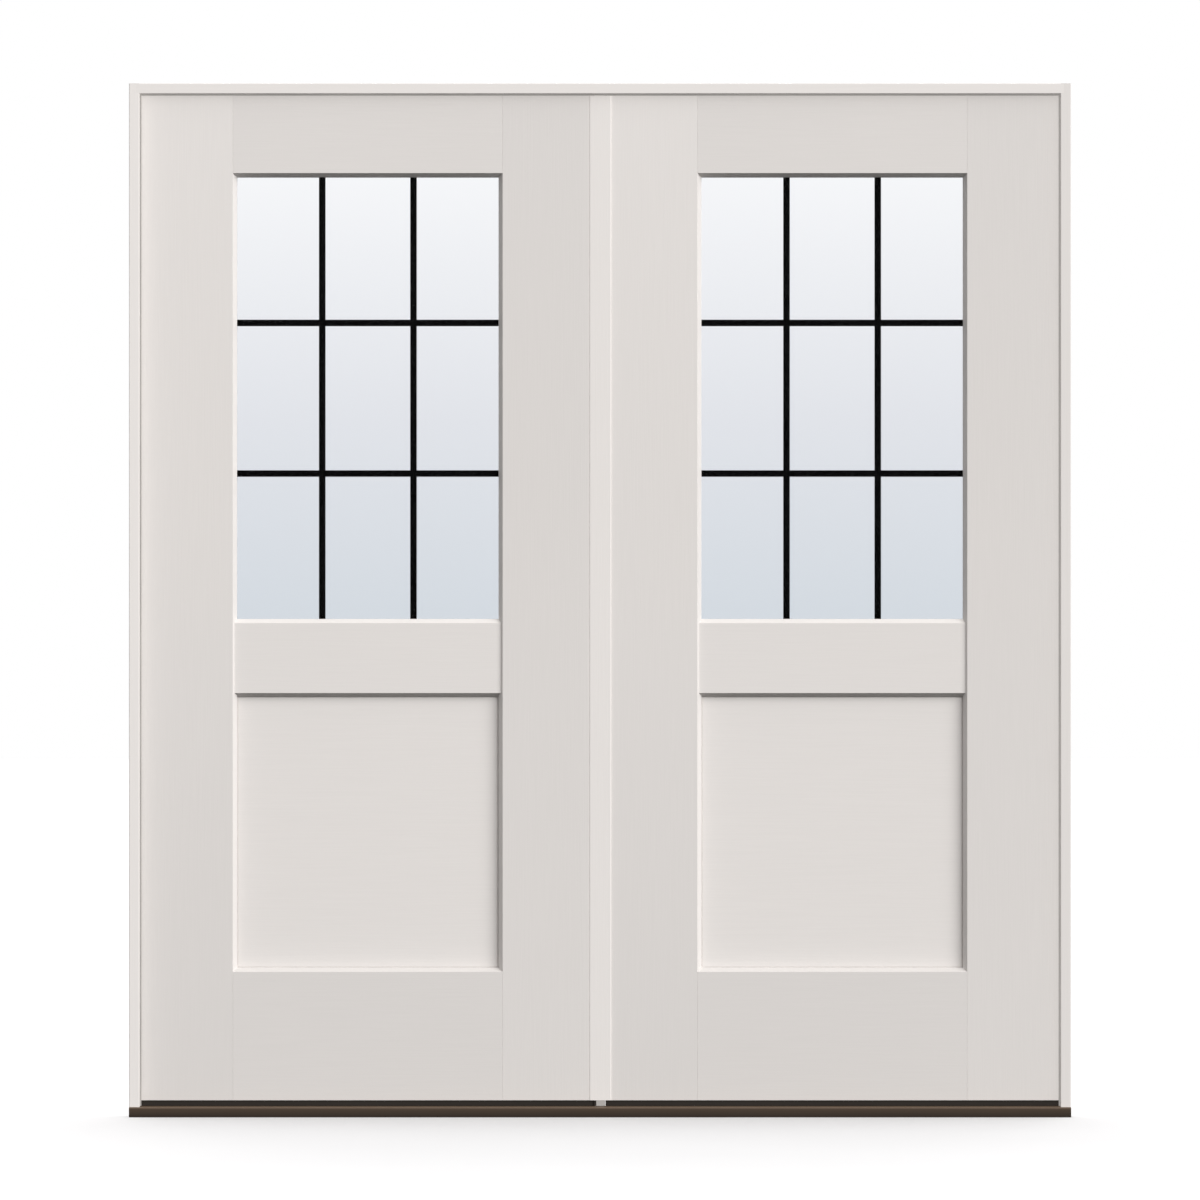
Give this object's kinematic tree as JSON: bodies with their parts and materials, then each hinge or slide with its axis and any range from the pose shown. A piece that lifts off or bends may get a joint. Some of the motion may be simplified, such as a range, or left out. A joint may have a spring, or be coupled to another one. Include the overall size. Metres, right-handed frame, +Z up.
{
  "type": "french doors",
  "caption": "Hinged pair of white half-glazed doors in a narrow frame on a dark sill, each leaf with black glazing bars over a flat panel, and a T-shaped astragal over the meeting line.",
  "frame": {"origin": "middle of the sill's underside", "axes": "X across the doorway with the active leaf at -X, +Y into the room, +Z up"},
  "size_m": [1.886, 0.091, 2.07],
  "materials": {
    "frame_paint": "satin white paint",
    "leaf_paint": "satin white paint",
    "astragal_paint": "satin white paint",
    "sill_bronze": "bronze anodised",
    "sill_composite": "matte",
    "cap_plastic": "satin",
    "white_seal": "matte foam",
    "dark_sweep": "matte vinyl",
    "clear_glass": "clear float glass",
    "black_bars": "matte black",
    "spacer_metal": "mill",
    "hinge_steel": "satin nickel",
    "block_plastic": "satin",
    "bolt_steel": "satin nickel"
  },
  "bodies": {
    "frame": {"active_bottom_hinge_jamb_plate": "hinge_steel", "active_middle_hinge_jamb_plate": "hinge_steel", "active_top_hinge_jamb_plate": "hinge_steel", "bolt_strikes": "hinge_steel", "head_jamb": "frame_paint", "head_seal": "white_seal", "left_jamb": "frame_paint", "left_seal": "white_seal", "passive_bottom_hinge_jamb_plate": "hinge_steel", "passive_middle_hinge_jamb_plate": "hinge_steel", "passive_top_hinge_jamb_plate": "hinge_steel", "right_jamb": "frame_paint", "right_seal": "white_seal", "sill_base": "sill_composite", "sill_cover": "sill_bronze", "threshold_cap": "cap_plastic"},
    "active_leaf": {"active_hinge_stile": "leaf_paint", "active_lock_stile": "leaf_paint", "active_top_rail": "leaf_paint", "active_mid_rail": "leaf_paint", "active_bottom_rail": "leaf_paint", "active_panel": "leaf_paint", "active_outer_pane": "clear_glass", "active_inner_pane": "clear_glass", "active_glass_spacer": "spacer_metal", "active_grille": "black_bars", "active_glazing_beads": "leaf_paint", "active_sweep": "dark_sweep", "active_top_hinge_leaf_plate": "hinge_steel", "active_middle_hinge_leaf_plate": "hinge_steel", "active_bottom_hinge_leaf_plate": "hinge_steel"},
    "passive_leaf": {"passive_hinge_stile": "leaf_paint", "passive_lock_stile": "leaf_paint", "passive_top_rail": "leaf_paint", "passive_mid_rail": "leaf_paint", "passive_bottom_rail": "leaf_paint", "passive_panel": "leaf_paint", "passive_outer_pane": "clear_glass", "passive_inner_pane": "clear_glass", "passive_glass_spacer": "spacer_metal", "passive_grille": "black_bars", "passive_glazing_beads": "leaf_paint", "passive_sweep": "dark_sweep", "passive_top_hinge_leaf_plate": "hinge_steel", "passive_middle_hinge_leaf_plate": "hinge_steel", "passive_bottom_hinge_leaf_plate": "hinge_steel", "astragal": "astragal_paint", "astragal_end_block": "block_plastic", "astragal_pad": "dark_sweep", "astragal_seal": "white_seal"},
    "top_bolt": {"top_bolt": "bolt_steel"},
    "bottom_bolt": {"bottom_bolt": "bolt_steel"}
  },
  "joints": [
    {"name": "active_hinge", "type": "hinge", "parent": "frame", "child": "active_leaf", "pos_m": [-0.9272, 0.0395, 1.0928], "axis": [0, 0, 1], "range_deg": [0, 110]},
    {"name": "passive_hinge", "type": "hinge", "parent": "frame", "child": "passive_leaf", "pos_m": [0.9272, 0.0395, 1.0928], "axis": [0, 0, -1], "range_deg": [0, 110]},
    {"name": "top_bolt_slide", "type": "slide", "parent": "passive_leaf", "child": "top_bolt", "axis": [0, 0, 1], "range_m": [0, 0.013]},
    {"name": "bottom_bolt_slide", "type": "slide", "parent": "passive_leaf", "child": "bottom_bolt", "axis": [0, 0, -1], "range_m": [0, 0.011]}
  ],
  "couplings": [
    {"joint": "passive_hinge", "follows": "active_hinge", "ratio": 0.9}
  ]
}
